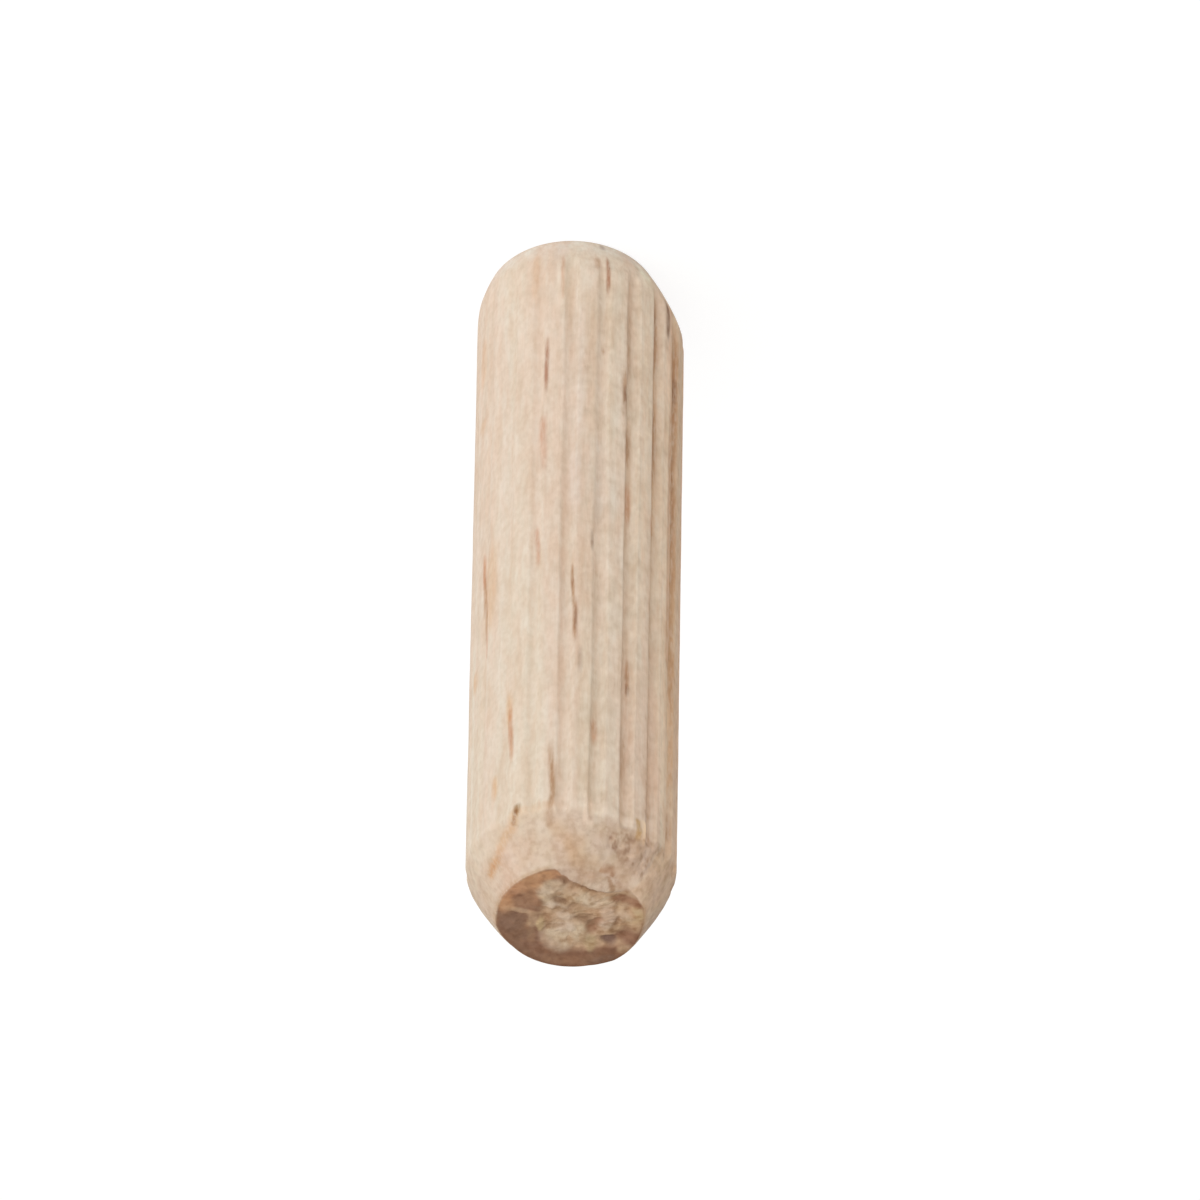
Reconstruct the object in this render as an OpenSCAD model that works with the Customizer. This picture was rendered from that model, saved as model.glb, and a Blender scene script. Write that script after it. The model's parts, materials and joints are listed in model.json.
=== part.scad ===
// Fluted wooden dowel pin, turned from one piece of pale beech.
// Z runs along the grain. The pin stands on its foot face at z = 0, with its tip up.
// Sizes are in millimetres.

/* [Shank] */
// diameter over the lands between the flutes
pin_dia = 10; // [8:0.5:14]
// length from the foot face to the tip face
pin_len = 40; // [20:1:80]

/* [Flutes] */
// number of flutes around the shank
flute_count = 20; // [8:1:22]
// depth of a flute below the lands
flute_depth = 0.3; // [0.1:0.05:0.4]
// radius of the round cutter that forms a flute
flute_cutter_r = 0.41; // [0.3:0.01:0.5]

/* [Tip end] */
// length of the tip's chamfer along the pin
tip_chamfer_len = 3.04; // [2:0.02:6]
// how far the tip's chamfer takes in the radius
tip_chamfer_depth = 1.42; // [0.9:0.02:2]
// how far the tip's chamfer swells beyond a straight cone
tip_swell = 0.12; // [0.05:0.01:0.2]

/* [Foot end] */
// length of the foot's chamfer along the pin
foot_chamfer_len = 3.46; // [2:0.02:6]
// how far the foot's chamfer takes in the radius
foot_chamfer_depth = 0.9; // [0.8:0.02:2]
// how far the foot's chamfer swells beyond a straight cone
foot_swell = 0.16; // [0.05:0.01:0.2]

/* [Hidden] */
beech = [0.87, 0.79, 0.69];
pin_r = pin_dia / 2;
shank_top = pin_len - tip_chamfer_len;
// a land, not a flute, faces each of the X and Y axes
flute_step = 360 / flute_count;
first_flute = flute_step / 2;
cutter_at = pin_r - flute_depth + flute_cutter_r;
cutter_overrun = 1;
// stretch of the shank that each end section takes in, so its corner is one clean edge
end_stretch = 0.6;
round_facets = 180;
swell_facets = 720;
cutter_facets = 40;

// radius of the arc that stands the given height over its chord
function arc_r(chord, height) = (chord * chord / 4 + height * height) / (2 * height);

// disc whose edge runs from the shank's corner at [pin_r, 0] to the end face at height len
module swollen_edge(len, depth, swell) {
    chord = sqrt(depth * depth + len * len);
    edge_r = arc_r(chord, swell);
    inward = (edge_r - swell) / chord;
    translate([pin_r - depth / 2 - len * inward, len / 2 - depth * inward])
        circle(r = edge_r, $fn = swell_facets);
}

// half section of one chamfered end, from the shank's corner up to the end face
module end_section(len, depth, swell) {
    intersection() {
        translate([0, -end_stretch])
            square([pin_r, len + end_stretch]);
        swollen_edge(len, depth, swell);
    }
}

// half section of the pin before it is fluted
module pin_section() {
    translate([0, shank_top])
        end_section(tip_chamfer_len, tip_chamfer_depth, tip_swell);
    translate([0, foot_chamfer_len + end_stretch / 2])
        square([pin_r, shank_top - foot_chamfer_len - end_stretch]);
    translate([0, foot_chamfer_len])
        mirror([0, 1])
            end_section(foot_chamfer_len, foot_chamfer_depth, foot_swell);
}

// round cutters that run the whole length, so each flute dies out on both chamfers
module flute_cutters() {
    for (i = [0 : flute_count - 1])
        rotate([0, 0, first_flute + i * flute_step])
            translate([cutter_at, 0, -cutter_overrun])
                cylinder(r = flute_cutter_r, h = pin_len + 2 * cutter_overrun, $fn = cutter_facets);
}

module dowel_pin() {
    color(beech)
        difference() {
            rotate_extrude($fn = round_facets)
                pin_section();
            flute_cutters();
        }
}

dowel_pin();
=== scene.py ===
"""Looks of a fluted beech dowel pin that stands on its foot face, with its torn tip up.

Sizes are in millimetres and angles in degrees until a mesh is made. An angle on the pin is
counted from the side that faces the camera, towards the right of the picture.
"""
import itertools
import json
import math

import bpy
import numpy as np
from mathutils import Matrix, Vector


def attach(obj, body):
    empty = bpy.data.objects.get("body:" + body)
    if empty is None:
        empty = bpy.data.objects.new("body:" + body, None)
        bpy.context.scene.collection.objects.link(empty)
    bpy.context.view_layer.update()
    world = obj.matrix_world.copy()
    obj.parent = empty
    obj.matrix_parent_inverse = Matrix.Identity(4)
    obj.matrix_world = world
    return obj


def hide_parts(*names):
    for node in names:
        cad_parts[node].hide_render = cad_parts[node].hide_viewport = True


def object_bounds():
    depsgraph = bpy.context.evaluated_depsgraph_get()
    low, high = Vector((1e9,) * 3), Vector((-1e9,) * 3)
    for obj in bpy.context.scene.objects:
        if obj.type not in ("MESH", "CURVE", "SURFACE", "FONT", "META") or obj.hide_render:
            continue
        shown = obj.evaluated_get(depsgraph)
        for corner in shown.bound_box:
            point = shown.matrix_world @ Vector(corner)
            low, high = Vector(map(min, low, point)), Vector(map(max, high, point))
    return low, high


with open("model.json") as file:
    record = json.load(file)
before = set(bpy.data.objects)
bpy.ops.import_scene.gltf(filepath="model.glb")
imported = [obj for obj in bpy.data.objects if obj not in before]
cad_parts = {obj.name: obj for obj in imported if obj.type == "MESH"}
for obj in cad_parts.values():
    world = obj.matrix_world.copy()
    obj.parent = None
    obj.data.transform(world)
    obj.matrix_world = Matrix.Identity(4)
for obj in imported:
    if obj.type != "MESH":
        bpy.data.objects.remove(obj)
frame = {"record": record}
cad_low, cad_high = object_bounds()

MM = 0.001
SHANK = next(m for m in frame["record"]["mounts"] if m["name"] == "shank")
PIN_R = SHANK["dims"]["r_mm"]
PIN_LEN = cad_high.z / MM

# The camera that the photograph was taken with, as the outline of the pin gives it
CAMERA_AZIMUTH = 4.0
CAMERA_ELEVATION = 43.24
CAMERA_LEAN = 1.0
CAMERA_DISTANCE = 1040.0
CAMERA_LENS = 660.0
CAMERA_SENSOR = 36
PICTURE_SIZE = 1200
PIN_CENTRE_PX = Vector((575.9, 604.9))

# The light: where it is strongest, its even part, and how much it swings from side to side
LIGHT_AZIMUTH = -42.0
LIGHT_ELEVATION = 39.0
LIGHT_LEVEL = 0.42
LIGHT_SWING = 1.10
LIGHT_LEAST = 0.02

# The flutes
FLUTE_COUNT = 20
FLUTE_STEP = 360 / FLUTE_COUNT
FLUTE_DEPTH = 0.3
FLUTE_CUTTER_R = 0.41
FIRST_FLUTE = FLUTE_STEP / 2 + CAMERA_AZIMUTH

# The tip: its crown, the height over which its rim rounds over, and its depths below the top
TIP_CROWN = 0.07
RIM_ROUND = 0.6
RING_DEPTH = 0.07
CORE_DEPTH = 0.09
TEAR_DEPTH = 0.047
FLAP_DEPTH = 0.04
# The foot: how far its crown is flatter on the far right, and swells there towards the shank
FOOT_FACE_R = 4.09
FOOT_CHAMFER = 3.46
FOOT_CROWN = 0.22
FOOT_FLATTER = 0.19
FOOT_LATE_CROWN = 0.09
FOOT_OFF_CENTRE = 0.42
FOOT_BROKEN_EDGE = 0.03
# height from which the side's rows close up towards the uneven rim of the tip
TIP_START = 36.0
# direction of the blade's flat cut on the tip's chamfer
FACET_ANGLE = -31

# How far the lands lie inside the full diameter, how much they wave, and the least gap to it
LAND_WEAR = 0.008
LAND_WAVE = 0.006
LEAST_GAP = 0.002

# How softly the surfaces run into each other
FACET_BLEND = 0.06
FOOT_BLEND = 0.1
FLUTE_BLEND = 0.07


def unit(angle):
    """Horizontal directions towards the camera and to the right of the picture, mixed by an angle."""
    turn = math.radians(CAMERA_AZIMUTH)
    toward = np.array([math.sin(turn), -math.cos(turn), 0.0])
    right = np.array([-math.cos(turn), -math.sin(turn), 0.0])
    a = np.radians(angle)[..., None]
    return np.cos(a) * toward + np.sin(a) * right


# Noise and soft steps

# a noise repeats after this many cells
NOISE_CELLS = 32


def smooth_noise(points, cell, seed):
    """Value noise from -1 to 1 at points, with one random value for each cell."""
    table = np.random.default_rng(seed).uniform(-1, 1, (NOISE_CELLS,) * 3)
    q = points / np.array(cell)
    low = np.floor(q).astype(int)
    f = q - low
    f = f * f * (3 - 2 * f)
    total = np.zeros(points.shape[:-1])
    for corner in itertools.product((0, 1), repeat=3):
        weight = np.prod(np.where(corner, f, 1 - f), axis=-1)
        i = (low + corner) % NOISE_CELLS
        total += weight * table[i[..., 0], i[..., 1], i[..., 2]]
    return total


def layered(points, cell, seed, layers=3):
    """Smooth noise with finer and weaker layers added."""
    total, weight, size = 0, 0, np.array(cell, float)
    for k in range(layers):
        total = total + smooth_noise(points, size, seed + k) / 2 ** k
        weight += 1 / 2 ** k
        size = size / 2
    return total / weight


def smoothstep(low, high, x):
    """0 at low and 1 at high, with a soft rise between. It falls where low is above high."""
    t = np.clip((x - low) / (high - low), 0, 1)
    return t * t * (3 - 2 * t)


def soft_min(a, b, blend):
    """The smaller of two values, rounded where they are nearly equal."""
    h = np.maximum(blend - np.abs(a - b), 0) / blend
    return np.minimum(a, b) - h * h * blend / 4


def around(angle, knots):
    """A value that follows a few knots (angle, value) round the pin."""
    at, values = zip(*knots)
    return np.interp(angle, at, values, period=360)


def angle_between(a, b):
    """Turn from b to a, from -180 to 180."""
    return (a - b + 180) % 360 - 180


def spot_distance(angle, z, centre, half):
    """Distance from a spot on the side, which is 1 on its ellipse. Both pairs are (angle, height)."""
    return np.hypot(angle_between(angle, centre[0]) / half[0], (z - centre[1]) / half[1])


# Form of the pin


def even_bulge(u):
    """A bulge from 0 to 1 that is highest, at 1, in the middle."""
    return 4 * u * (1 - u)


def late_bulge(u):
    """A bulge from 0 to 1 that is highest, at 1, two thirds of the way."""
    return 27 / 4 * u * u * (1 - u)


def tip_profile(depth, length, face_r):
    """Radius of the tip's chamfer, which bulges most near the shank, at a depth below its rim."""
    u = np.clip(depth / length, 0, 1)
    return face_r + (PIN_R - face_r) * u + TIP_CROWN * late_bulge(u)


def foot_profile(z, angle):
    """Radius of the foot's chamfer, flatter on the far right and set a little to the left."""
    u = np.clip(z / FOOT_CHAMFER, 0, 1)
    flat = smoothstep(65, 25, np.abs(angle_between(angle, 100)))
    swell = (FOOT_CROWN - FOOT_FLATTER * flat) * even_bulge(u)
    swell = swell + FOOT_LATE_CROWN * flat * late_bulge(u)
    off = FOOT_OFF_CENTRE * np.cos(np.radians(angle + 90)) * (1 - u)
    return FOOT_FACE_R + (PIN_R - FOOT_FACE_R) * u + swell + off


def rim_tuck(angle):
    """How far the rim of the tip rounds over before it meets the face."""
    knots = (
        (-150, 0.04), (-22, 0.04), (-4, 0.30), (15, 0.50),
        (45, 0.50), (62, 0.30), (80, 0.05),
    )
    return around(angle, knots)


def tip_face_radius(angle):
    """Radius of the tip's rim before the cuts and tears."""
    knots = (
        (-172, 3.52), (-130, 3.44), (-100, 3.54), (-76, 3.46), (-45, 3.42), (-15, 3.46),
        (30, 3.52), (75, 3.50), (105, 3.48), (125, 3.60), (145, 3.69), (165, 3.53),
    )
    return around(angle, knots)


def tip_length(angle):
    """Length of the tip's chamfer, which was cut unevenly around the pin."""
    knots = (
        (-170, 2.9), (-90, 3.05), (-35, 2.75), (-12, 2.5), (2, 2.5), (28, 2.3),
        (46, 1.95), (62, 2.5), (90, 3.08), (112, 3.15), (140, 2.7),
    )
    return around(angle, knots)


def rim_drop(angle):
    """How far the rim of the tip face lies below the top of the pin."""
    knots = (
        (-180, 0.07), (-60, 0.05), (-25, 0.05), (-8, 0.10), (12, 0.24),
        (45, 0.27), (62, 0.16), (75, 0.10), (100, 0.06), (150, 0.09),
    )
    return around(angle, knots)


def facet_radius(angle, z):
    """Radius of the flat cut that a blade left on the tip's chamfer, at the lower left of the picture."""
    (low_r, low_z), (high_r, high_z) = (4.99, 37.25), (3.40, 40.0)
    r = low_r + (z - low_z) * (high_r - low_r) / (high_z - low_z)
    return r / np.cos(np.radians(np.clip(angle_between(angle, FACET_ANGLE), -70, 70)))


def side_points(angle, z, radius):
    """Points at an angle, a height and a distance from the axis."""
    p = unit(angle) * radius[..., None]
    p[..., 2] = z
    return p


def rough_patch(angle, z):
    """1 where the tip's chamfer is torn instead of cut."""
    p = side_points(angle, z, np.full_like(z, PIN_R))
    ragged = 0.35 * layered(p, (0.9, 0.9, 0.7), 71)
    return smoothstep(1.15, 0.75, spot_distance(angle, z, (45, 38.65), (21, 0.88)) + ragged)


def turned_radius(angle, z, skin):
    """Radius of the shank and its two chamfers before the flutes are cut."""
    land = PIN_R - LAND_WEAR + LAND_WAVE * smooth_noise(skin, (3, 3, 14), 11)
    tip = tip_profile(PIN_LEN - z, tip_length(angle), tip_face_radius(angle))
    tip = soft_min(tip, facet_radius(angle, z), FACET_BLEND)
    below_rim = PIN_LEN - rim_drop(angle) - z
    tip = tip - rim_tuck(angle) * np.clip(1 - below_rim / RIM_ROUND, 0, 1.2) ** 2
    torn_depth = 0.06 + 0.08 * layered(skin, (0.45, 0.45, 0.40), 73, 2)
    tip = tip + 0.02 * layered(skin, (1.3, 1.3, 1.3), 12) - rough_patch(angle, z) * torn_depth
    # the corner of the tip's chamfer is softest at both edges of the picture
    tip_blend = 0.06 + 0.16 * np.abs(np.sin(np.radians(angle))) ** 3
    return soft_min(soft_min(land, tip, tip_blend), foot_profile(z, angle), FOOT_BLEND)


def flute_share(angle, z):
    """How deep the flutes are round the pin. The photograph shows shallow ones at its left."""
    knots = (
        (-120, 1.0), (-95, 0.7), (-77, 0.35), (-59, 0.35),
        (-41, 0.5), (-23, 0.6), (-5, 0.8), (13, 1.0),
    )
    # the flute just right of the middle is shallower in its lower half
    near = smoothstep(10, 5, np.abs(angle_between(angle, 13)))
    return around(angle, knots) * (1 - 0.35 * near * smoothstep(22, 15, z))


def flute_radius(angle, z):
    """Radius of the nearest flute's floor. Each flute wanders and varies a little along the pin."""
    nearest = np.round((angle - FIRST_FLUTE) / FLUTE_STEP)
    along = np.stack([nearest * 7.3, nearest * 3.1, z], -1)
    wander = 0.5 * smooth_noise(along, (1, 1, 9), 21) + 0.25 * smooth_noise(along, (1, 1, 2.5), 23)
    vary = 1 + 0.18 * smooth_noise(along, (1, 1, 13), 22) + 0.08 * smooth_noise(along, (1, 1, 3), 24)
    depth = FLUTE_DEPTH * flute_share(FIRST_FLUTE + nearest * FLUTE_STEP, z) * vary
    centre = PIN_R - depth + FLUTE_CUTTER_R
    off = np.radians(angle - FIRST_FLUTE - nearest * FLUTE_STEP + wander)
    across = centre * np.sin(off)
    inside = np.clip(FLUTE_CUTTER_R ** 2 - across ** 2, 0, None)
    # between the flutes there is no floor, so the radius lies outside the pin
    outside = PIN_R + 1
    flute = np.where(inside > 0, centre * np.cos(off) - np.sqrt(inside), outside)
    return np.minimum(flute, outside)


def side_radius(angle, z):
    """Radius of the pin's side at an angle and a height."""
    skin = side_points(angle, z, np.full_like(angle, PIN_R))
    r = soft_min(turned_radius(angle, z, skin), flute_radius(angle, z), FLUTE_BLEND)
    # raised and sunken fibres along the grain
    fibres = 0.010 * layered(skin, (0.34, 0.34, 6), 31) + 0.007 * layered(skin, (0.22, 0.22, 1.2), 35)
    ends = smoothstep(0.0, 1.2, z) * smoothstep(0.0, 0.5, PIN_LEN - z)
    return np.minimum(r + fibres * ends, PIN_R - LEAST_GAP)


# Colours, as fractions of the plain wood's own colour

PALE = (1.03, 1.02, 0.96)
ROSY = (0.98, 0.96, 0.96)
STRAW = (0.88, 0.82, 0.62)
OLIVE = (0.72, 0.68, 0.48)
TAN = (0.86, 0.75, 0.63)
RING = (0.47, 0.33, 0.26)
ORANGE = (0.86, 0.61, 0.44)
MAUVE = (0.42, 0.31, 0.27)
UMBER = (0.53, 0.41, 0.32)
GAP = (0.34, 0.26, 0.24)
EMBER = (0.56, 0.39, 0.30)
RED = (0.55, 0.33, 0.25)
SIENNA = (0.60, 0.41, 0.28)
REDDISH = (0.80, 0.56, 0.44)
PINK = (0.84, 0.64, 0.56)
DARK = (0.38, 0.28, 0.23)
AMBER = (0.95, 0.78, 0.62)
BARK = (0.55, 0.40, 0.30)
BROWN = (0.70, 0.56, 0.46)
RUSSET = (0.72, 0.57, 0.46)
GREY = (0.70, 0.66, 0.66)
BRIGHT = (1.12, 1.15, 1.18)
PALER = (0.99, 1.02, 1.07)


# Torn tip face, where a is to the right of the picture and b towards the camera

# Shapes on the face: a, b, half sizes, turn, lift, colour, strength
TIP_SHAPES = (
    # the burnished ring
    (-2.15, 2.25, 1.25, 0.55, 42, 0.00, ORANGE, 0.9),
    (-1.10, 2.85, 0.95, 0.38, 12, 0.00, ORANGE, 0.9),
    (-3.10, 0.95, 0.45, 0.90, 10, 0.00, ORANGE, 0.9),
    (-2.10, 1.15, 0.80, 0.42, 35, -0.05, EMBER, 0.85),
    (-1.55, 2.00, 0.30, 0.45, -30, 0.00, ORANGE, 0.7),
    (-2.70, -0.45, 0.75, 0.85, 0, -0.02, MAUVE, 0.9),
    (-2.15, -1.90, 0.65, 1.10, -30, -0.02, MAUVE, 0.6),
    (-1.75, -1.35, 0.22, 0.60, 5, 0.00, UMBER, 0.6),
    (-2.20, 0.38, 0.95, 0.20, -12, 0.035, TAN, 0.5),
    (-1.75, -0.20, 0.25, 0.60, 5, 0.01, TAN, 0.6),
    (0.10, -3.05, 1.90, 0.32, 0, 0.00, RING, 0.9),
    (1.60, -2.95, 0.80, 0.25, 18, -0.02, GAP, 0.5),
    (2.95, -1.40, 0.45, 0.75, 25, -0.05, RING, 0.9),
    # the torn core
    (-0.50, -1.40, 0.85, 0.95, 10, 0.08, PALE, 0.8),
    (0.42, -1.15, 0.42, 0.75, 5, 0.07, PALE, 1.0),
    (-0.20, 0.10, 0.45, 0.50, 30, 0.06, ROSY, 0.6),
    (-0.20, -0.75, 0.45, 0.35, 0, 0.05, ROSY, 0.8),
    (-0.92, 1.35, 0.56, 0.85, 15, 0.08, PALE, 0.9),
    (-0.85, 0.75, 0.40, 0.30, 0, 0.05, ROSY, 0.6),
    (-0.75, 2.10, 0.60, 0.42, 0, 0.06, PALE, 0.8),
    (1.00, 1.12, 0.90, 0.55, -18, 0.10, PALE, 1.0),
    (1.75, 0.00, 0.40, 0.90, -12, 0.09, ROSY, 0.7),
    (3.05, 0.05, 0.36, 0.60, -10, 0.05, STRAW, 0.7),
    (2.55, 0.10, 0.26, 0.75, 25, 0.05, PALE, 0.5),
    (0.95, -1.75, 0.32, 0.60, 0, 0.05, OLIVE, 0.6),
    (2.60, -2.15, 0.36, 0.40, 35, 0.02, TAN, 0.8),
    (-1.35, -0.50, 0.18, 0.50, 0, 0.08, STRAW, 0.9),
    # the gaps between torn fibres, sunk and painted dark, partly as painted shade
    (1.14, -0.66, 0.62, 0.29, 62, -0.12, EMBER, 1.0),
    (0.60, -0.08, 0.50, 0.26, 8, -0.10, UMBER, 0.9),
    (0.82, -0.36, 0.62, 0.26, -32, -0.04, UMBER, 0.9),
    (-0.05, 0.45, 0.45, 0.18, 45, -0.09, UMBER, 0.5),
    (-0.50, 1.02, 0.48, 0.24, -22, -0.12, UMBER, 0.9),
    (1.85, -1.60, 0.42, 0.32, 0, -0.20, GAP, 1.0),
    (2.55, -1.35, 0.55, 0.34, -20, -0.12, RING, 1.0),
    (0.05, -1.60, 0.18, 0.26, 0, -0.06, TAN, 0.9),
    (-0.75, -0.72, 0.50, 0.13, 15, -0.06, UMBER, 0.6),
    (2.15, -0.45, 0.16, 0.65, -15, -0.09, UMBER, 0.8),
    (2.80, 0.30, 0.14, 0.60, 10, -0.08, TAN, 0.7),
    (2.42, 1.22, 0.54, 0.36, 6, -0.12, EMBER, 1.0),
    (3.05, 0.98, 0.55, 0.34, -35, -0.10, EMBER, 1.0),
    (2.20, 0.60, 0.14, 0.50, -20, -0.08, TAN, 0.7),
    # painted shadow below the edge of the folded skin
    (0.10, 2.22, 0.70, 0.14, -28, -0.06, UMBER, 0.5),
    (1.10, 1.84, 0.72, 0.14, -18, -0.06, UMBER, 0.8),
    (-0.40, 2.62, 0.36, 0.16, -35, -0.05, UMBER, 0.7),
)

# Points (a, b) on the inner edge of the skin that folds over the upper right of the face
FLAP_EDGE = (
    (-0.9, 3.5), (-0.4, 2.75), (0.3, 2.2), (1.0, 1.8), (1.7, 1.55),
    (1.9, 1.6), (2.6, 1.7), (3.4, 1.2), (3.8, 0.7),
)

# Spots on that skin: a, b, half sizes, turn, colour, strength
FLAP_SPOTS = (
    (1.85, 2.15, 0.13, 0.65, 15, BROWN, 0.9),
    (2.15, 2.85, 0.28, 0.16, 0, UMBER, 0.8),
    (1.55, 3.10, 0.40, 0.13, -20, UMBER, 0.6),
)

# A spot below the rim is seen this much nearer to the camera than it is
SEEN_SHIFT = 0.04


def flat_points(a, b):
    return np.stack([a, b, np.zeros_like(a)], -1)


def ragged_face(a, b):
    """Places on the face, shifted so that the edges of shapes are ragged."""
    p = flat_points(a, b)
    return a + 0.16 * layered(p, (0.5, 0.5, 1), 45, 4), b + 0.16 * layered(p, (0.5, 0.5, 1), 47, 4)


def blob(a, b, ellipse):
    """Soft ellipse on the tip face."""
    at_a, at_b, half_a, half_b, turn = ellipse
    c, s = math.cos(math.radians(turn)), math.sin(math.radians(turn))
    u = ((a - at_a) * c + (b - at_b) * s) / half_a
    v = ((b - at_b) * c - (a - at_a) * s) / half_b
    return smoothstep(1.32, 0.52, np.hypot(u, v))


def flap(a, b):
    """1 on the skin of the chamfer that folds over the upper right of the tip face."""
    a, b = ragged_face(a, b)
    edge_a, edge_b = zip(*FLAP_EDGE)
    return smoothstep(0.0, 0.20, b - np.interp(a, edge_a, edge_b))


def torn_core(a, b):
    """1 on the pale torn core of the tip face and 0 on its burnished rim."""
    edge = np.hypot((a - 1.05) / 2.55, (b - 0.15) / 2.6)
    edge = edge + 0.12 * layered(flat_points(a, b), (1.1, 1.1, 1), 51)
    return 1 - smoothstep(0.9, 1.04, edge)


def tip_relief(a, b):
    """How far the torn tip face lies below the top of the pin."""
    p = flat_points(a, b)
    bend = flat_points(smooth_noise(p, (1.1, 1.1, 1), 41), smooth_noise(p, (1.1, 1.1, 1), 42))
    torn = layered(p + 0.3 * bend, (0.34, 0.24, 1), 43, 3)
    core = torn_core(a, b)
    over = flap(a, b)
    wa, wb = ragged_face(a, b + SEEN_SHIFT)
    lift = sum(height * blob(wa, wb, ellipse) for *ellipse, height, _, _ in TIP_SHAPES)
    low = RING_DEPTH + core * CORE_DEPTH - TEAR_DEPTH * torn * (0.3 + core) - 0.7 * lift
    return np.clip(low * (1 - over) + (FLAP_DEPTH - 0.03 * torn) * over, 0.02, None)


# Mesh

# more columns on the photographed side than behind
ANGLES = np.r_[np.arange(-96, 96, 0.6), np.linspace(96, 264, 140, endpoint=False)]
COLUMNS = len(ANGLES)


def pin_rows():
    """Rows of (zone, value) from the centre of the foot face up the side to the centre of the tip face."""
    foot_face = [("foot", t) for t in np.r_[np.linspace(0.1, 0.94, 8), 0.975, 1.0]]
    chamfer_low = np.linspace(0.03, FOOT_CHAMFER, 25)
    shank = np.linspace(FOOT_CHAMFER, TIP_START, 104)[1:]
    chamfer_high = np.r_[np.linspace(TIP_START + 0.12, PIN_LEN - 0.06, 40), PIN_LEN - 0.015]
    side = [("side", z) for z in np.r_[chamfer_low, shank, chamfer_high]]
    tip_face = [("tip", t) for t in np.r_[0.99, np.linspace(0.97, 0.03, 34)]]
    return foot_face + side + tip_face


def foot_face_points(share):
    """Points of the foot face at a share of its radius, whose edge is slightly broken."""
    r = side_radius(ANGLES, np.full(COLUMNS, 0.0)) - FOOT_BROKEN_EDGE * (share >= 1)
    return side_points(ANGLES, np.zeros(COLUMNS), r * share)


def tip_face_points(top, rim, share):
    """Points of the torn tip face at a share of the radius of its rim, which lies at the height top."""
    r = rim * share
    p = side_points(ANGLES, top, r)
    low = tip_relief(r * np.sin(np.radians(ANGLES)), r * np.cos(np.radians(ANGLES)))
    drop = rim_drop(ANGLES)
    # where the rim lies low the face bends down to it as a dome, and elsewhere in a short step
    reach = np.clip((1 - share) / (0.4 - 0.3 * np.exp(-drop / 0.1)), 0, 1)
    domed = smoothstep(0.1, 0.2, drop)
    inner = smoothstep(0, 1, reach) * (1 - domed) + reach * (2 - reach) * domed
    p[:, 2] = top + 0.005 + (PIN_LEN - low - top) * inner
    return p


def pin_surface():
    """Grid of points, with a row for each place in pin_rows and a column for each angle."""
    points = []
    top = PIN_LEN - rim_drop(ANGLES)
    rim = side_radius(ANGLES, top)
    for zone, value in pin_rows():
        if zone == "side":
            z = np.full(COLUMNS, value)
            if value > TIP_START:
                z = TIP_START + (z - TIP_START) * (top - TIP_START) / (PIN_LEN - TIP_START)
            points.append(side_points(ANGLES, z, side_radius(ANGLES, z)))
        elif zone == "foot":
            points.append(foot_face_points(value))
        else:
            points.append(tip_face_points(top, rim, value))
    return np.array(points)


def build_pin():
    """The whole pin as one closed mesh."""
    grid = pin_surface()
    centres = [[0, 0, 0], [0, 0, grid[-1][:, 2].mean()]]
    verts = np.vstack([grid.reshape(-1, 3), centres])
    index = np.arange(grid.size // 3).reshape(-1, COLUMNS)
    beside = np.roll(index, -1, axis=1)
    quads = np.stack([index[:-1], index[1:], beside[1:], beside[:-1]], -1).reshape(-1, 4)
    faces = quads.tolist()
    bottom, top = len(verts) - 2, len(verts) - 1
    faces += [[bottom, int(i), int(j)] for i, j in zip(index[0], beside[0])]
    faces += [[top, int(j), int(i)] for i, j in zip(index[-1], beside[-1])]
    mesh = bpy.data.meshes.new("fluted_pin")
    mesh.from_pydata((verts * MM).tolist(), [], faces)
    mesh.validate()
    mesh.shade_smooth()
    paint(mesh, verts)
    pin = bpy.data.objects.new("fluted_pin", mesh)
    bpy.context.collection.objects.link(pin)
    return pin


# Marks on the side

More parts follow.
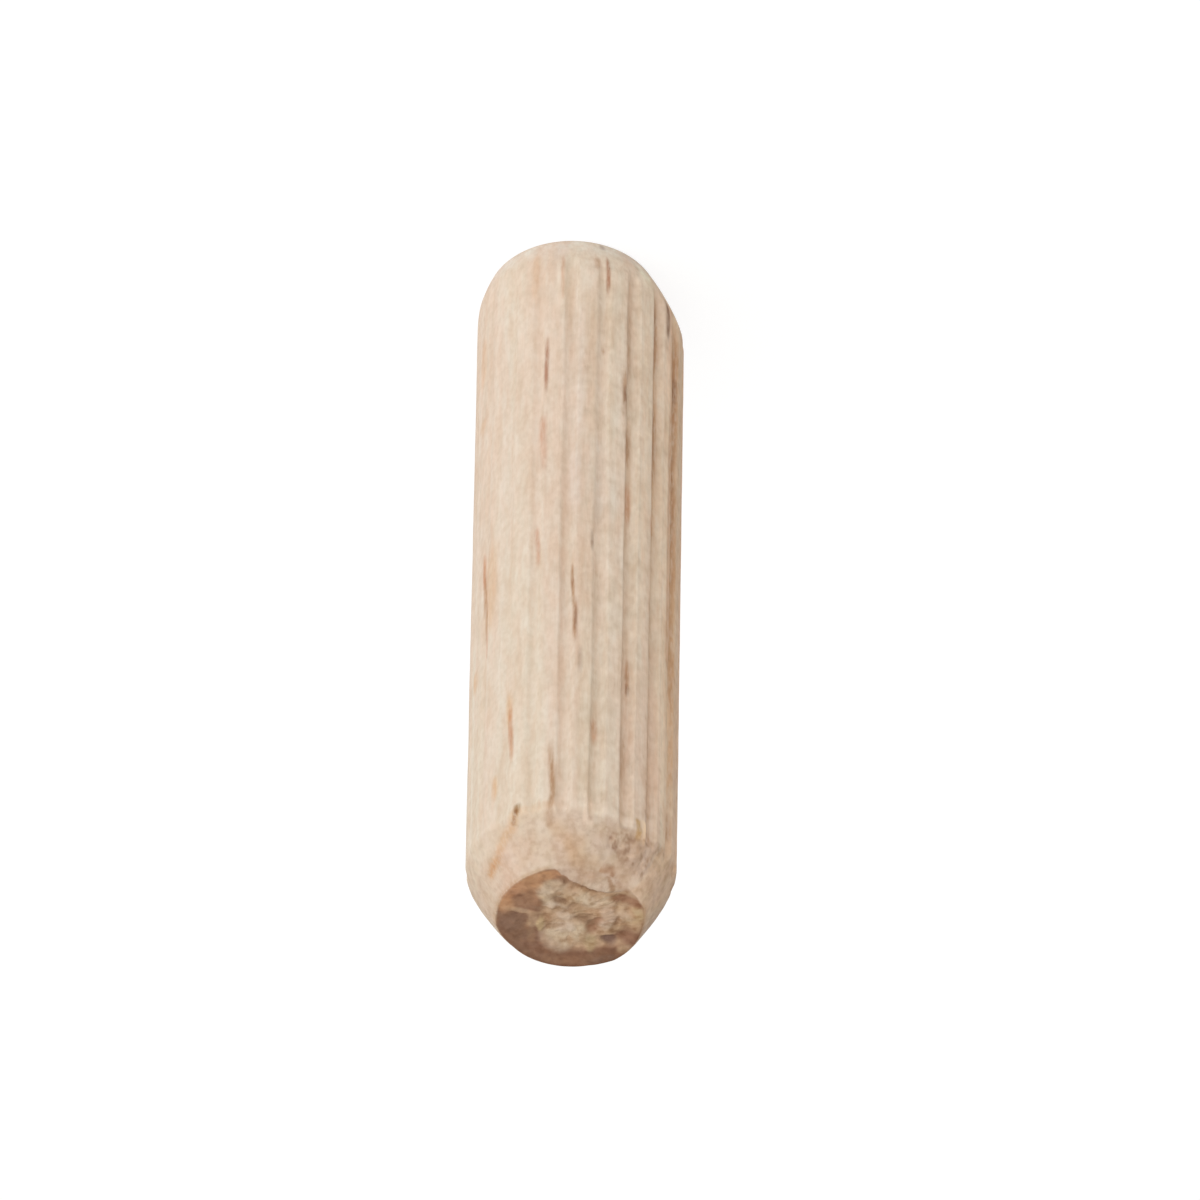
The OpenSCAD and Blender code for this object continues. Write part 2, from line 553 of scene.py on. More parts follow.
# Flecks on the photographed side: angle, lowest and highest point, width, colour, strength
FLECKS = (
    (-18.7, 7.0, 10.6, 0.28, RED, 0.9),
    (-20.6, 12.0, 13.9, 0.46, PINK, 0.9),
    (-19.3, 13.3, 15.8, 0.42, PINK, 0.6),
    (15.2, 1.4, 4.2, 0.25, RED, 1.0),
    (12.8, 1.8, 4.3, 0.45, BRIGHT, 0.6),
    (8.8, 1.6, 2.6, 0.40, BROWN, 0.7),
    (13.0, 0.15, 0.75, 0.40, GREY, 1.0),
    (-10.3, 1.4, 4.6, 0.26, REDDISH, 0.6),
    (-11.5, 2.0, 5.5, 0.50, BRIGHT, 0.5),
    (-26.5, 1.0, 4.5, 0.45, AMBER, 0.5),
    (13.0, 7.6, 8.0, 0.28, BROWN, 0.9),
    (25.6, 8.6, 12.2, 0.34, BROWN, 1.0),
    (25.7, 9.8, 11.3, 0.26, DARK, 0.5),
    (28.0, 4.5, 9.5, 0.60, BROWN, 0.5),
    (-68.0, 4.4, 7.9, 0.90, AMBER, 0.6),
    (-68.0, 9.8, 10.8, 0.90, AMBER, 0.6),
    (48.4, 2.8, 8.2, 0.50, BROWN, 0.8),
    (48.0, 3.0, 5.7, 0.36, DARK, 0.2),
    (48.0, 9.3, 15.5, 0.60, BROWN, 0.8),
    (57.0, 2.3, 5.1, 0.34, DARK, 1.0),
    (-23.0, 19.2, 20.6, 0.28, PINK, 0.9),
    (-21.9, 20.0, 21.8, 0.28, PINK, 0.9),
    (8.2, 19.7, 21.0, 0.20, DARK, 0.7),
    (10.2, 19.9, 21.0, 0.28, BRIGHT, 1.0),
    (-61.5, 19.0, 21.4, 0.30, REDDISH, 0.9),
    (-60.3, 20.4, 23.2, 0.30, RUSSET, 1.0),
    (-58.6, 22.2, 25.0, 0.28, RUSSET, 0.9),
    (-57.2, 24.2, 26.2, 0.30, PINK, 0.8),
    (-54.5, 18.8, 24.6, 1.10, AMBER, 0.7),
    (-2.2, 21.8, 23.6, 0.20, SIENNA, 0.9),
    (-1.4, 22.7, 24.6, 0.20, SIENNA, 0.9),
    (-0.1, 24.2, 27.0, 0.30, SIENNA, 0.9),
    (0.2, 24.8, 26.3, 0.20, DARK, 0.5),
    (2.7, 27.3, 29.0, 0.28, GREY, 0.8),
    (28.5, 12.4, 15.1, 0.50, BROWN, 0.9),
    (29.3, 16.0, 18.6, 0.50, REDDISH, 0.8),
    (33.0, 15.0, 18.5, 0.40, BRIGHT, 0.6),
    (46.0, 17.3, 18.7, 0.46, REDDISH, 1.0),
    (46.0, 22.8, 25.2, 0.50, BROWN, 0.7),
    (31.6, 27.2, 29.6, 0.30, BROWN, 1.0),
    (31.9, 28.9, 29.5, 0.22, DARK, 0.5),
    (34.8, 27.0, 29.3, 0.36, BRIGHT, 0.4),
    (46.3, 25.0, 27.2, 0.40, BROWN, 1.0),
    (45.5, 28.0, 34.5, 0.30, BROWN, 0.7),
    (-38.4, 29.3, 31.6, 0.60, AMBER, 0.9),
    (-37.0, 30.3, 32.9, 0.36, REDDISH, 0.9),
    (-35.4, 31.6, 33.9, 0.30, REDDISH, 0.8),
    (-71.0, 26.0, 27.5, 0.90, AMBER, 0.8),
    (11.3, 31.7, 33.3, 0.46, REDDISH, 0.7),
    (28.0, 31.8, 35.6, 0.50, BROWN, 0.6),
    (-47.0, 34.2, 35.8, 0.45, AMBER, 1.0),
    (0.0, 4.0, 20.0, 1.10, PALER, 0.5),
    (12.0, 13.5, 19.5, 1.60, PALER, 0.8),
    (-3.0, 14.5, 18.5, 0.90, PALER, 0.7),
    (69.6, 3.8, 12.5, 0.42, RUSSET, 0.9),
    (69.8, 6.6, 8.6, 0.34, DARK, 0.5),
    (69.0, 11.5, 16.5, 0.42, RUSSET, 0.9),
    (69.6, 15.6, 20.5, 0.42, RUSSET, 0.9),
    (69.0, 19.0, 24.0, 0.42, RUSSET, 0.8),
    (69.6, 23.0, 28.6, 0.42, RUSSET, 0.8),
    (70.0, 28.0, 34.6, 0.36, RUSSET, 0.5),
    # painted shade at the edge of a land, where it drops into a flute
    (60.2, 9.0, 27.0, 0.24, BROWN, 0.5),
    (69.6, 34.8, 36.8, 0.42, BARK, 0.5),
)

# Soft bands along the pin: angle, half width in degrees, lowest and highest point, colour
BANDS = (
    # partly painted shade in the floor of the flute near the right edge
    (67.5, 3.2, 4.0, 18.0, (0.93, 0.91, 0.89)),
    (66.0, 4.0, 28.0, 37.0, (1.05, 1.08, 1.10)),
    (49.0, 3.4, 4.0, 19.0, (0.95, 0.88, 0.82)),
    (57.0, 3.6, 5.5, 36.0, (1.12, 1.10, 1.08)),
    (-44.0, 6.0, 3.0, 36.0, (1.01, 1.04, 1.06)),
    (-4.0, 4.0, 19.0, 35.0, (1.02, 1.06, 1.08)),
    (16.0, 4.0, 4.0, 18.0, (0.97, 0.94, 0.91)),
    (42.5, 8.0, 0.8, 2.6, (1.15, 1.25, 1.27)),
    (-12.0, 6.0, 0.8, 2.4, (0.93, 0.92, 0.92)),
    (-73.0, 5.0, 3.0, 37.0, (1.03, 1.05, 1.07)),
    # painted shade down the left wall of a flute
    (45.5, 3.0, 20.0, 36.0, (0.95, 0.92, 0.89)),
    (68.5, 4.5, 19.0, 34.0, (1.06, 1.08, 1.07)),
    # painted shade at the edge of a land, where it drops into a flute
    (61.0, 2.0, 10.0, 26.0, (0.98, 0.93, 0.91)),
    (59.5, 2.5, 4.5, 9.5, (1.06, 1.04, 1.05)),
    (39.5, 3.0, 4.5, 26.0, (1.05, 1.03, 1.01)),
    (32.5, 3.0, 27.0, 34.0, (0.95, 0.90, 0.87)),
)

# Streaks near the tip: width, colour, strength, and a path of (angle, height)
STREAKS = (
    # the blade's long streak, its dark start and the stain beside the flap
    (0.42, (0.95, 0.80, 0.66), 0.9, ((-31.5, 37.2), (-36, 37.8), (-45, 38.2), (-55, 38.65), (-66, 38.9))),
    (0.26, (1.0, 0.86, 0.72), 0.7, ((-55, 38.65), (-66, 38.9))),
    (0.17, BARK, 0.7, ((-31.8, 37.2), (-35.0, 37.7))),
    (0.27, (0.50, 0.38, 0.24), 0.9, ((-31.0, 36.95), (-31.6, 37.25))),
    (0.55, (0.93, 0.84, 0.72), 0.6, ((-10, 38.4), (-5, 38.8), (1, 39.4))),
    # splinters at the torn patch, and a painted highlight on one of them
    (0.24, (0.74, 0.60, 0.38), 1.0, ((38.5, 37.4), (40.5, 38.2))),
    # painted highlight on a torn fibre
    (0.26, (1.20, 1.17, 1.05), 1.0, ((42.8, 37.3), (44.6, 38.2))),
    (0.14, BROWN, 0.8, ((44.8, 34.6), (45.2, 37.1))),
    (0.2, DARK, 0.6, ((45.2, 36.5), (45.5, 37.25))),
    (0.2, BROWN, 0.8, ((48, 37.6), (50, 38.0))),
    (0.15, RUSSET, 0.9, ((25, 39.72), (33, 39.62), (37, 39.72))),
)

# A fine crack that runs from the shank into the tip's chamfer, as (angle, height)
CRACK = ((-12.6, 33.6), (-11.3, 35.0), (-10.5, 36.6), (-11.8, 37.6), (-13, 38.3))
CRACK_WIDTH = 0.23
# heights on the crack, and how strongly it shows there
CRACK_SHOWN = ((33.6, 0.5), (35.0, 1), (36.9, 1), (37.4, 0.6), (38.4, 0.3))

# mean radius where the streaks lie
STREAK_R = 4.5


def hidden_flecks():
    """Flecks in the same kind of wood on the sides that the photograph doesn't show."""
    rng = np.random.default_rng(5)
    flecks = []
    for _ in range(30):
        low = rng.uniform(2, 34)
        long = rng.uniform(0.8, 3.4)
        colour = (REDDISH, BROWN, PINK, RED, AMBER)[rng.integers(5)]
        at = rng.uniform(95, 262)
        width = rng.uniform(0.22, 0.42)
        strength = rng.uniform(0.5, 0.95)
        flecks.append((at, low, low + long, width, colour, strength))
    return flecks


def streak(angle, z, path, width):
    """Soft line on the side through points of angle and height."""
    nearest = np.full(angle.shape, np.inf)
    mm_per_degree = math.radians(1) * STREAK_R
    for (a0, z0), (a1, z1) in zip(path, path[1:]):
        d = np.array([(a1 - a0) * mm_per_degree, z1 - z0])
        q = np.stack([angle_between(angle, a0) * mm_per_degree, z - z0], -1)
        t = np.clip(q @ d / (d @ d), 0, 1)
        nearest = np.minimum(nearest, np.hypot(*(q - t[..., None] * d).T))
    return smoothstep(width, 0.1 * width, nearest)


class Skin:
    """Every vertex of the pin: its place, the zone that it is in, and the tint laid on it."""

    def __init__(self, verts):
        toward, right = unit(np.array([0.0, 90.0]))
        self.verts = verts
        self.a, self.b, self.z = verts @ right, verts @ toward, verts[:, 2]
        self.angle = np.degrees(np.arctan2(self.a, self.b))
        self.radius = np.hypot(self.a, self.b)
        self.tint = np.ones((len(verts), 3))
        self.mark_tip_face()
        self.side = smoothstep(0.0, 0.12, self.z) * (1 - self.on_tip)
        self.mark_cut()

    def mark_tip_face(self):
        """Masks of the tip face, its torn core, its bare wood and the skin folded over it."""
        self.rim = side_radius(self.angle, PIN_LEN - rim_drop(self.angle))
        fade = 0.05 + 0.05 * smoothstep(-1.5, 0.5, self.b)
        inside = smoothstep(self.rim + 0.02, self.rim - fade, self.radius)
        self.on_tip = smoothstep(PIN_LEN - 1.5, PIN_LEN - 1.2, self.z) * inside
        self.core = torn_core(self.a, self.b)
        self.over = flap(self.a, self.b)
        self.bare = self.on_tip * (1 - self.over)
        self.folded = self.on_tip * self.over

    def mark_cut(self):
        """Mask of the tip's chamfer, where the wood is cut across the grain."""
        chamfer_start = PIN_LEN - tip_length(self.angle)
        share = around(self.angle, ((-110, 0.8), (-75, 0.6), (-45, 0.6), (-25, 0.9), (20, 1.0), (90, 0.9)))
        self.cut = smoothstep(-0.05, 0.45, self.z - chamfer_start) * self.side * share

    def spot(self, centre, half, inner=0.5, outer=1.2):
        """Soft ellipse on the side. Its centre and half sizes are (angle, height)."""
        return smoothstep(outer, inner, spot_distance(self.angle, self.z, centre, half))

    def lay(self, mask, colour, strength=1.0):
        """Multiply the tint by a colour under a mask."""
        w = (np.clip(mask, 0, 1) * strength)[:, None]
        self.tint = self.tint * (1 - w) + self.tint * np.array(colour) * w

    def set_to(self, mask, colour, strength=1.0):
        """Replace the tint by a colour under a mask."""
        w = (np.clip(mask, 0, 1) * strength)[:, None]
        self.tint = self.tint * (1 - w) + np.array(colour) * w

    def mottle(self, mask, noise, start, full, dark, light, strength=1.0):
        """Lay a dark colour where a noise is high and a light one where it is low."""
        self.lay(mask * smoothstep(start, full, noise), dark, strength)
        self.lay(mask * smoothstep(-start, -full, noise), light, strength)


def paint_warm_shade(skin):
    """Painted warm shade on the side turned from the light, strongest at the right edge of the picture,
    partly painted shade in the flute there, and painted shade on one land beside a flute.
    """
    # painted warm shade, growing towards the side turned from the light
    shaded_side = around(
        skin.angle, ((-150, 0.0), (20, 0.0), (40, 0.22), (58, 0.45), (61, 1.0), (90, 0.9), (135, 0.1)))
    skin.lay(shaded_side * (1 + 0.25 * smooth_noise(skin.verts, (1.2, 1.2, 6), 80)), (0.98, 0.86, 0.75))
    # partly painted shade in the floor of the flute near the right edge
    valley_shade = smoothstep(60.0, 62.0, skin.angle) * smoothstep(71, 65, skin.angle)
    valley_shade = valley_shade * smoothstep(3.0, 4.5, skin.z) * smoothstep(31, 26, skin.z)
    uneven = 1 + 0.3 * smooth_noise(skin.verts, (0.4, 0.4, 1.6), 82)
    skin.lay(valley_shade * uneven, (0.90, 0.80, 0.72), 1 - 0.5 * smoothstep(12, 20, skin.z))
    # painted shade on the land left of a flute and the start of its left wall
    land = smoothstep(5, 2.5, np.abs(skin.angle - 5.5)) * smoothstep(3, 5, skin.z)
    skin.lay(land * smoothstep(PIN_LEN - 2.4, PIN_LEN - 4, skin.z), (0.94, 0.91, 0.87))


def paint_flute_shade(skin):
    """Painted shade, warmer and duller, down the left wall of each flute, which turns from the light."""
    off = angle_between(skin.angle, FIRST_FLUTE)
    in_flute = off - np.round(off / FLUTE_STEP) * FLUTE_STEP
    # painted shade on the left wall of each flute, strongest on the side turned from the light
    wall_shade = smoothstep(2.2, -1.2, in_flute) * smoothstep(PIN_R - 0.05, PIN_R - 0.24, skin.radius)
    wall_shade = wall_shade * smoothstep(2.2, 3.2, skin.z) * smoothstep(PIN_LEN - 2.0, PIN_LEN - 2.6, skin.z)
    knots = (
        (-120, 0.7), (-70, 0.3), (-20, 0.45), (10, 0.8), (30, 1.0),
        (46, 1.1), (60, 1.15), (75, 1.4), (110, 0.9),
    )
    vary = 1 + 0.5 * smooth_noise(skin.verts, (0.8, 0.8, 3.5), 81)
    skin.lay(wall_shade * vary * around(skin.angle, knots), (0.86, 0.78, 0.71), 0.6)


def paint_grain(skin):
    """Uneven wood, which shows most towards the right."""
    knots = ((-110, 0.6), (-60, 0.2), (-20, 0.3), (10, 0.7), (35, 1.0), (90, 1.0), (150, 0.7))
    uneven = around(skin.angle, knots) * skin.side
    grain = layered(skin.verts, (0.26, 0.26, 0.36), 93)
    skin.mottle(uneven, grain, 0.05, 0.6, (0.91, 0.88, 0.85), (1.05, 1.06, 1.06))
    scuffs = layered(skin.verts, (0.6, 0.6, 0.4), 95, 2)
    skin.mottle(uneven, scuffs, 0.1, 0.7, (0.89, 0.86, 0.82), (1.05, 1.06, 1.07))


def paint_bands(skin):
    """Soft bands that make the side paler or duller along the pin, some of the duller ones painted shade in
    and beside the flutes.
    """
    for at, half, low, high, colour in BANDS:
        across = smoothstep(1.0, 0.35, np.abs(angle_between(skin.angle, at)) / half)
        along = smoothstep(low - 1, low + 1, skin.z) * smoothstep(high + 1, high - 1, skin.z)
        skin.lay(across * along * skin.side, colour)


def paint_flecks(skin):
    """The short flecks of beech, with ragged edges."""
    ragged = 0.25 * smooth_noise(skin.verts, (0.5, 0.5, 1.6), 61)
    for at, low, high, width, colour, strength in (*FLECKS, *hidden_flecks()):
        across = np.radians(angle_between(skin.angle, at)) * PIN_R / (width / 2) + ragged
        along = (skin.z - (low + high) / 2) / ((high - low) / 2)
        mask = smoothstep(1.3, 0.2, np.hypot(across, np.abs(along) ** 2))
        skin.lay(mask * skin.side, colour, strength)


def paint_streaks(skin):
    """Streaks, splinters and the crack near the tip."""
    for width, colour, strength, path in STREAKS:
        skin.lay(streak(skin.angle, skin.z, path, width) * skin.side, colour, strength)
    height, shown = zip(*CRACK_SHOWN)
    crack = streak(skin.angle, skin.z, CRACK, CRACK_WIDTH)
    skin.lay(crack * skin.side * np.interp(skin.z, height, shown), (0.62, 0.47, 0.35))


def toasted(skin):
    """Tan wood on both sides of the rim, beside the flap."""
    return skin.spot((15, 39.68), (12, 0.40), inner=0.4)


def paint_chamfer(skin):
    """Stains and paler wood on the tip's chamfer."""
    angle, z = skin.angle, skin.z
    skin.lay(skin.spot((3, 39.2), (9, 0.7)) * skin.cut, (0.97, 0.92, 0.84), 0.9)
    skin.lay(skin.spot((-20, 37.3), (14, 0.32)) * skin.side, (0.95, 0.86, 0.77), 0.8)
    facet = skin.spot((-33, 39.1), (26, 0.9), inner=0.6, outer=1.1)
    skin.lay(facet * skin.cut, (0.99, 0.96, 0.95))
    skin.lay(toasted(skin) * skin.side, (0.93, 0.86, 0.79), 0.9)
    # the bright shallow end of a flute
    flute_end = smoothstep(4.5, 2, np.abs(angle - 9.5))
    flute_end = flute_end * smoothstep(36.5, 37.2, z) * smoothstep(38.6, 38.1, z)
    skin.lay(flute_end, (1.16, 1.15, 1.17))
    # rosy wood at the left edge of the picture
    rosy = smoothstep(38.1, 38.6, z) * smoothstep(-40, -50, angle) * smoothstep(-110, -85, angle)
    skin.lay(rosy * skin.side, (0.94, 0.885, 0.86))
    # paler wood at the right edge
    start = around(angle, ((44, 38.3), (60, 38.1), (67, 37.5), (90, 37.2)))
    paler = smoothstep(start - 0.2, start + 0.3, z) * smoothstep(45, 52, angle) * smoothstep(125, 90, angle)
    skin.lay(paler * skin.side, (1.19, 1.28, 1.37))


def paint_torn_patch(skin):
    """Grey, spotted wood where the tip's chamfer is torn."""
    rough = rough_patch(skin.angle, skin.z) * skin.side
    skin.lay(rough, (0.94, 0.92, 0.91))
    spots = layered(skin.verts, (0.24, 0.24, 0.2), 283, 2)
    skin.mottle(rough, spots, 0.05, 0.5, (0.72, 0.63, 0.57), (1.14, 1.14, 1.12), 0.9)
    specks = smoothstep(0.1, 0.5, layered(skin.verts, (0.22, 0.22, 0.22), 87))
    skin.lay(skin.spot((28, 38.6), (7, 0.6)) * skin.side * specks, (0.60, 0.48, 0.42), 0.9)


def paint_tip_face(skin):
    """The burnished ring, the torn core and the folded skin on the tip face."""
    wa, wb = ragged_face(skin.a, skin.b + SEEN_SHIFT)
    skin.set_to(skin.bare, RING)
    skin.lay(skin.bare * smoothstep(0.5, -2.5, skin.b), (0.88, 0.85, 0.84))
    skin.set_to(skin.bare * skin.core, TAN)
    for *ellipse, _, colour, strength in TIP_SHAPES:
        skin.set_to(skin.bare * blob(wa, wb, ellipse), colour, strength)
    # the dark edge at the back of the face
    back = smoothstep(0.30, 0.05, skin.rim - skin.radius) * smoothstep(-0.3, -1.5, skin.b)
    skin.lay(skin.on_tip * back, (0.80, 0.74, 0.72), 0.9)
    # the folded skin
    skin.set_to(skin.folded, (1.0, 0.99, 0.98))
    skin.lay(skin.folded * toasted(skin), (0.90, 0.82, 0.75), 0.9)
    skin.set_to(skin.folded * smoothstep(1.8, 2.1, skin.a), (0.97, 0.93, 0.91))
    for *ellipse, colour, strength in FLAP_SPOTS:
        skin.set_to(skin.folded * blob(wa, wb, ellipse), colour, strength)


def paint_torn_wood(skin):
    """Painted shade in small dips of the torn core, uneven wood on the tip face and along its rim, and
    painted shade where the rim rounds over.
    """
    # painted shade in small dips of the torn core
    pit_shade = smoothstep(0.05, -0.5, layered(flat_points(skin.a, skin.b), (0.34, 0.28, 1), 89, 3))
    skin.lay(skin.bare * skin.core * pit_shade, (0.72, 0.62, 0.53), 0.8)
    blotch = layered(skin.verts, (0.5, 0.5, 0.5), 85)
    skin.lay(skin.on_tip * smoothstep(0.0, 0.7, blotch), (0.84, 0.80, 0.78), 0.8)
    dapple = layered(skin.verts, (0.24, 0.24, 0.24), 91)
    burnished = skin.bare * (1 - skin.core)
    skin.mottle(burnished, dapple, 0.0, 0.6, (0.78, 0.74, 0.72), (1.18, 1.16, 1.12), 0.8)
    # painted shade where the rim rounds over, which dulls its highlight there, and a brown edge where it is
    # sharp
    near_top = skin.z > PIN_LEN - 1
    tuck = rim_tuck(skin.angle)
    crease_shade = smoothstep(0.45, 0.1, np.abs(skin.radius - skin.rim)) * smoothstep(0.15, 0.4, tuck)
    skin.lay(crease_shade * near_top * smoothstep(-0.2, 0.5, dapple), (0.88, 0.83, 0.79), 0.9)
    edge = smoothstep(0.12, 0.02, np.abs(skin.radius - skin.rim - 0.02)) * smoothstep(0.15, 0.08, tuck)
    skin.lay(edge * near_top, (0.86, 0.76, 0.66), 0.7)


def paint_foot(skin):
    """A brown rim on the sawn foot face, and a paler colour just above it."""
    rim = smoothstep(0.03, 0.0, skin.z) * smoothstep(FOOT_FACE_R - 1.2, FOOT_FACE_R - 0.1, skin.radius)
    skin.lay(rim, (0.60, 0.47, 0.38), 0.8)
    skin.lay(smoothstep(1.6, 0.5, skin.z) * skin.side, (1.06, 1.13, 1.22))


def paint(mesh, verts):
    """Tints and masks that the wood's material reads, one value for each vertex."""
    skin = Skin(verts)
    paint_warm_shade(skin)
    paint_flute_shade(skin)
    paint_grain(skin)
    paint_bands(skin)
    paint_flecks(skin)
    paint_streaks(skin)
    paint_chamfer(skin)
    paint_torn_patch(skin)
    paint_tip_face(skin)
    paint_torn_wood(skin)
    paint_foot(skin)
    tint = mesh.attributes.new("tint", "FLOAT_COLOR", "POINT")
    tint.data.foreach_set("color", np.c_[skin.tint, np.ones(len(verts))].astype(np.float32).ravel())
    cut = skin.cut + skin.on_tip
    torn = skin.on_tip * np.maximum(skin.core, skin.over)
    for name, values in (("cut", cut), ("torn", torn)):
        mask = mesh.attributes.new(name, "FLOAT", "POINT")
        mask.data.foreach_set("value", values.astype(np.float32))


# Material


class Nodes:
    """Short ways to add and join shader nodes in a material or a world."""

    def __init__(self, owner):
        owner.use_nodes = True
        self.tree = owner.node_tree
        self.tree.nodes.clear()

    def add(self, kind, inputs=None, **settings):
        """Add a node, and set each input to a value or link it to a socket."""
        node = self.tree.nodes.new("ShaderNode" + kind)
        for key, value in settings.items():
            setattr(node, key, value)
        for key, value in (inputs or {}).items():
            if isinstance(value, bpy.types.NodeSocket):
                self.tree.links.new(value, node.inputs[key])
            else:
                node.inputs[key].default_value = value
        return node

    def maths(self, operation, a, b):
        return self.add("Math", {0: a, 1: b}, operation=operation).outputs[0]

    def scaled(self, vector, scale):
        return self.add("VectorMath", {0: vector, 1: scale}, operation="MULTIPLY").outputs[0]

    def noise(self, vector, scale, detail):
        inputs = {"Vector": vector, "Scale": scale, "Detail": detail}
        return self.add("TexNoise", inputs).outputs[0]

    def spread(self, value, low, high, to_low=0.0, to_high=1.0):
        inputs = {0: value, 1: low, 2: high, 3: to_low, 4: to_high}
        return self.add("MapRange", inputs, clamp=True, interpolation_type="SMOOTHSTEP").outputs[0]

    def mix(self, factor, a, b, blend="MIX"):
        inputs = {0: factor, 6: a, 7: b}
        return self.add("Mix", inputs, data_type="RGBA", blend_type=blend).outputs[2]

    def shade(self, base, noise, low, high, colour):
        """Multiply the base by a colour where a noise rises from low to high."""
        shaded = self.mix(1.0, base, (*colour, 1), "MULTIPLY")
        return self.mix(self.spread(noise, low, high), base, shaded)

    def attribute(self, name, output):
        return self.add("Attribute", attribute_name=name).outputs[output]


def beech_material():
    """Bare beech, with marks from the painted tint and rougher wood where it is cut or torn."""
    material = bpy.data.materials.new("beech")
    n = Nodes(material)
    mm = n.scaled(n.add("TexCoord").outputs["Object"], (1 / MM, 1 / MM, 1 / MM))

    def grain(squeeze, scale, detail):
        """Noise that is stretched along the grain by squeezing the heights."""
        return n.noise(n.scaled(mm, (1, 1, squeeze)), scale, detail)

    cut = n.attribute("cut", "Fac")
    torn = n.attribute("torn", "Fac")
    fine = grain(0.12, 6.0, 3.0)
    speck = n.noise(mm, 3.0, 4.0)
    # colour bands along the grain, then finer and finer fibres
    pale = (0.800, 0.708, 0.586, 1)
    pink = (0.801, 0.674, 0.559, 1)
    plain = n.mix(n.spread(grain(0.06, 0.6, 2.0), 0.38, 0.62), pale, pink)
    plain = n.shade(plain, grain(0.10, 2.0, 3.0), 0.35, 0.68, (0.96, 0.935, 0.91))
    wood = n.shade(plain, fine, 0.38, 0.70, (0.97, 0.955, 0.94))
    wood = n.shade(wood, grain(0.30, 1.6, 3.0), 0.35, 0.70, (0.965, 0.945, 0.92))
    wood = n.shade(wood, grain(0.60, 4.5, 4.0), 0.35, 0.68, (0.94, 0.92, 0.895))
    wood = n.shade(wood, grain(0.25, 2.6, 2.0), 0.35, 0.65, (1.005, 0.965, 0.945))
    # end grain, which is darker and speckled
    end = n.mix(1.0, n.mix(0.3, plain, wood), (0.83, 0.77, 0.735, 1), "MULTIPLY")
    end = n.shade(end, n.noise(mm, 1.1, 2.0), 0.35, 0.65, (0.95, 0.93, 0.88))
    end = n.shade(end, speck, 0.40, 0.68, (0.86, 0.82, 0.79))
    wood = n.mix(cut, wood, end)
    # the painted marks, broken up by fibres where the wood isn't cut
    broken = n.spread(grain(0.16, 9.0, 2.0), 0.34, 0.60, 0.66, 1.08)
    tint = n.mix(n.maths("MAXIMUM", broken, cut), (1, 1, 1, 1), n.attribute("tint", "Color"))
    wood = n.mix(1.0, wood, tint, "MULTIPLY")
    fibrous = n.maths("MULTIPLY", fine, n.maths("SUBTRACT", 1.0, cut))
    grainy = n.maths("MULTIPLY", speck, n.maths("ADD", cut, torn))
    relief = n.maths("ADD", fibrous, grainy)
    bump = n.add("Bump", {"Strength": 0.5, "Distance": 0.05 * MM, "Height": relief}).outputs[0]
    inputs = {"Base Color": wood, "Roughness": 0.75, "Specular IOR Level": 0.25, "Normal": bump}
    shader = n.add("BsdfPrincipled", inputs)
    n.add("OutputMaterial", {"Surface": shader.outputs[0]})
    return material


# Stage

# half the width of the floor, in metres
FLOOR_HALF = 4.0


def floor_material():
    """White to the camera, with a faint shadow of the pin, and pale to the light that falls on it."""
    material = bpy.data.materials.new("pale_floor")
    n = Nodes(material)
    path = n.add("LightPath").outputs
    mirrored = n.maths("MAXIMUM", path["Is Glossy Ray"], path["Is Transmission Ray"])
    seen = n.maths("MAXIMUM", path["Is Camera Ray"], mirrored)
    lit = n.add("BsdfDiffuse", {"Color": (0.9, 0.9, 0.9, 1)}).outputs[0]
    faint = n.add("BsdfDiffuse", {"Color": (0.2, 0.2, 0.2, 1)}).outputs[0]
    white = n.add("Emission", {"Color": (1, 1, 1, 1), "Strength": 0.87}).outputs[0]
    bright = n.add("AddShader", {0: faint, 1: white}).outputs[0]
    shader = n.add("MixShader", {0: seen, 1: lit, 2: bright})
    n.add("OutputMaterial", {"Surface": shader.outputs[0]})
    return material


def add_floor():
    """A pale floor under the pin."""
    mesh = bpy.data.meshes.new("floor")
    half = FLOOR_HALF
    corners = [(-half, -half, 0), (half, -half, 0), (half, half, 0), (-half, half, 0)]
    mesh.from_pydata(corners, [], [(0, 1, 2, 3)])
    mesh.materials.append(floor_material())
    floor = bpy.data.objects.new("floor", mesh)
    bpy.context.collection.objects.link(floor)


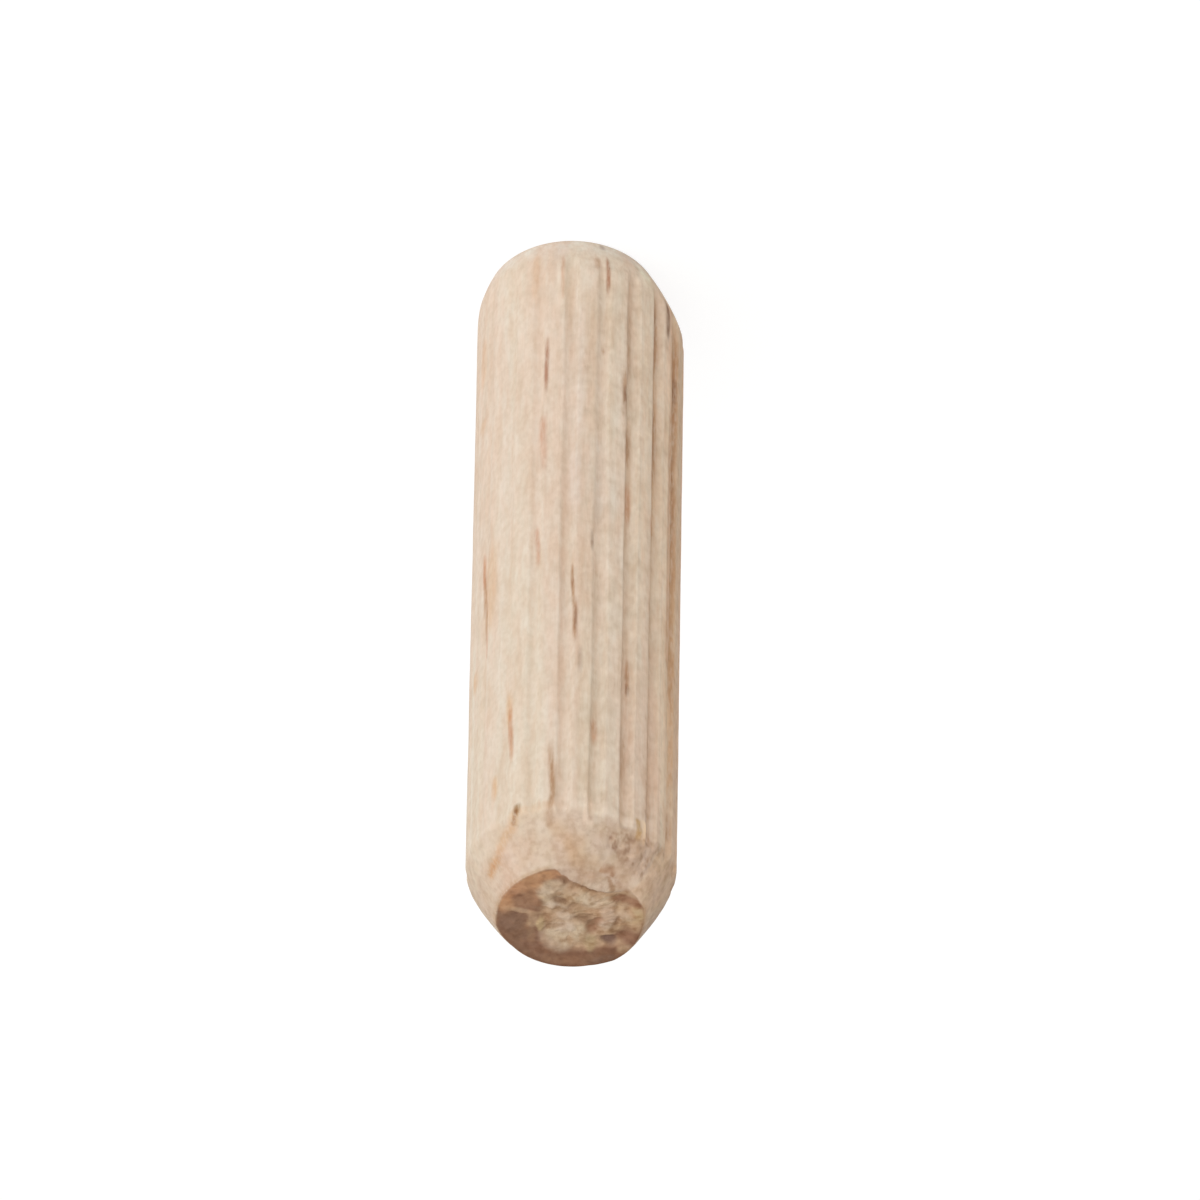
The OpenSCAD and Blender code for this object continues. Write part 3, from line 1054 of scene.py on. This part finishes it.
def add_world():
    """Soft studio light from all round, strongest from the left of the camera, on a white backdrop."""
    rise = math.radians(LIGHT_ELEVATION)
    across = Vector(unit(np.array([LIGHT_AZIMUTH]))[0] * math.cos(rise))
    strongest = across + Vector((0, 0, math.sin(rise)))
    world = bpy.data.worlds.new("world")
    n = Nodes(world)
    direction = n.add("TexCoord").outputs["Generated"]
    facing = n.add("VectorMath", {0: direction, 1: strongest}, operation="DOT_PRODUCT").outputs["Value"]
    swing = {0: facing, 1: LIGHT_SWING, 2: LIGHT_LEVEL}
    bright = n.add("Math", swing, operation="MULTIPLY_ADD").outputs[0]
    share = n.add("MapRange", {0: facing, 1: -1.0, 2: 1.0, 3: 0.0, 4: 1.0}).outputs[0]
    tone = n.mix(share, (1.0, 0.78, 0.60, 1), (1.0, 1.03, 1.05, 1))
    light = n.add("Background", {0: tone, 1: n.maths("MAXIMUM", bright, LIGHT_LEAST)})
    backdrop = n.add("Background", {0: (1, 1, 1, 1), 1: 1.0})
    camera_ray = n.add("LightPath").outputs["Is Camera Ray"]
    mixed = n.add("MixShader", {0: camera_ray, 1: light.outputs[0], 2: backdrop.outputs[0]})
    n.add("OutputWorld", {0: mixed.outputs[0]})
    bpy.context.scene.world = world


def add_camera():
    """The photograph shows the tip lowest, so the camera is turned half round, and leans a little."""
    rise = math.radians(CAMERA_ELEVATION)
    lean = math.radians(CAMERA_LEAN)
    toward, right = (Vector(v) for v in unit(np.array([0.0, 90.0])))
    up = Vector((0, 0, 1))
    forward = -toward * math.cos(rise) - up * math.sin(rise)
    down = -toward * math.sin(rise) + up * math.cos(rise)
    image_right = math.cos(lean) * right - math.sin(lean) * down
    image_down = math.sin(lean) * right + math.cos(lean) * down
    data = bpy.data.cameras.new("camera")
    data.sensor_width = CAMERA_SENSOR
    data.lens = CAMERA_LENS
    data.clip_start, data.clip_end = 0.01, 20
    focal_px = CAMERA_LENS / CAMERA_SENSOR * PICTURE_SIZE
    off = (PIN_CENTRE_PX - Vector((PICTURE_SIZE / 2, PICTURE_SIZE / 2))) * CAMERA_DISTANCE / focal_px
    centre = up * PIN_LEN / 2
    place = centre - image_right * off.x - image_down * off.y - forward * CAMERA_DISTANCE
    camera = bpy.data.objects.new("camera", data)
    bpy.context.collection.objects.link(camera)
    axes = Matrix((image_right, -image_down, -forward)).transposed()
    camera.matrix_world = Matrix.Translation(place * MM) @ axes.to_4x4()
    bpy.context.scene.camera = camera


pin = build_pin()
pin.data.materials.append(beech_material())
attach(pin, "root")
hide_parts("dowel_pin")

add_floor()
add_world()
add_camera()
bpy.context.scene.view_settings.view_transform = "Standard"
